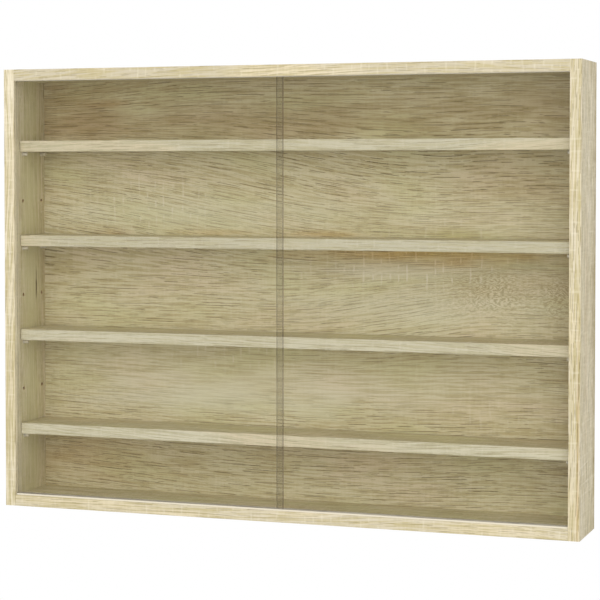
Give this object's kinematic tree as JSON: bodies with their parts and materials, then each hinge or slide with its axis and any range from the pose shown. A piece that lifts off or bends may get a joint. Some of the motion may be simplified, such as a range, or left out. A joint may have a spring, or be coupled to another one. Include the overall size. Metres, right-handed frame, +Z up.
{
  "type": "wall display cabinet",
  "caption": "Shallow wall-hung display cabinet in pale oak-look board, with lift-out shelves on pins behind overlapping sliding glass doors.",
  "frame": {"origin": "middle of the rear face, in the plane of the wall", "axes": "+X along the cabinet to the right of someone who faces it, +Y from its front into the wall, +Z up"},
  "size_m": [0.8, 0.095, 0.6],
  "materials": {
    "oak_panel": "pale oak grain on melamine-faced chipboard, matt",
    "oak_back": "pale oak grain printed on thin hardboard, matt",
    "oak_edge": "pale oak edge band, matt",
    "door_glass": "clear float glass with ground edges",
    "track_plastic": "white extruded plastic",
    "pin_steel": "nickel-plated",
    "zinc_steel": "zinc-plated",
    "cam_zinc": "die-cast zinc",
    "beech": "plain beech"
  },
  "bodies": {
    "cabinet": {"side_panel_left": "oak_panel", "side_panel_right": "oak_panel", "top_panel": "oak_panel", "bottom_panel": "oak_panel", "back_panel": "oak_back", "edge_band_left": "oak_edge", "edge_band_right": "oak_edge", "edge_band_top": "oak_edge", "edge_band_bottom": "oak_edge", "corner_dowels": "beech", "cam_bolts": "zinc_steel", "cam_locks": "cam_zinc", "hanger_plate_left": "zinc_steel", "hanger_plate_right": "zinc_steel", "hanger_screws": "zinc_steel", "back_nails": "zinc_steel", "upper_track": "track_plastic", "lower_track": "track_plastic", "shelf_1_pins": "pin_steel", "shelf_2_pins": "pin_steel", "shelf_3_pins": "pin_steel", "shelf_4_pins": "pin_steel"},
    "left_door": {"glass_door_left": "door_glass"},
    "right_door": {"glass_door_right": "door_glass"},
    "top_shelf": {"shelf_1": "oak_panel", "shelf_1_edge_band": "oak_edge"},
    "upper_shelf": {"shelf_2": "oak_panel", "shelf_2_edge_band": "oak_edge"},
    "lower_shelf": {"shelf_3": "oak_panel", "shelf_3_edge_band": "oak_edge"},
    "bottom_shelf": {"shelf_4": "oak_panel", "shelf_4_edge_band": "oak_edge"}
  },
  "joints": [
    {"name": "left_door_slide", "type": "slide", "parent": "cabinet", "child": "left_door", "axis": [1, 0, 0], "range_m": [0, 0.379]},
    {"name": "right_door_slide", "type": "slide", "parent": "cabinet", "child": "right_door", "axis": [1, 0, 0], "range_m": [-0.379, 0]},
    {"name": "top_shelf_lift", "type": "slide", "parent": "cabinet", "child": "top_shelf", "axis": [0, 0, 1], "range_m": [0, 0.065]},
    {"name": "upper_shelf_lift", "type": "slide", "parent": "cabinet", "child": "upper_shelf", "axis": [0, 0, 1], "range_m": [0, 0.065]},
    {"name": "lower_shelf_lift", "type": "slide", "parent": "cabinet", "child": "lower_shelf", "axis": [0, 0, 1], "range_m": [0, 0.065]},
    {"name": "bottom_shelf_lift", "type": "slide", "parent": "cabinet", "child": "bottom_shelf", "axis": [0, 0, 1], "range_m": [0, 0.065]}
  ]
}
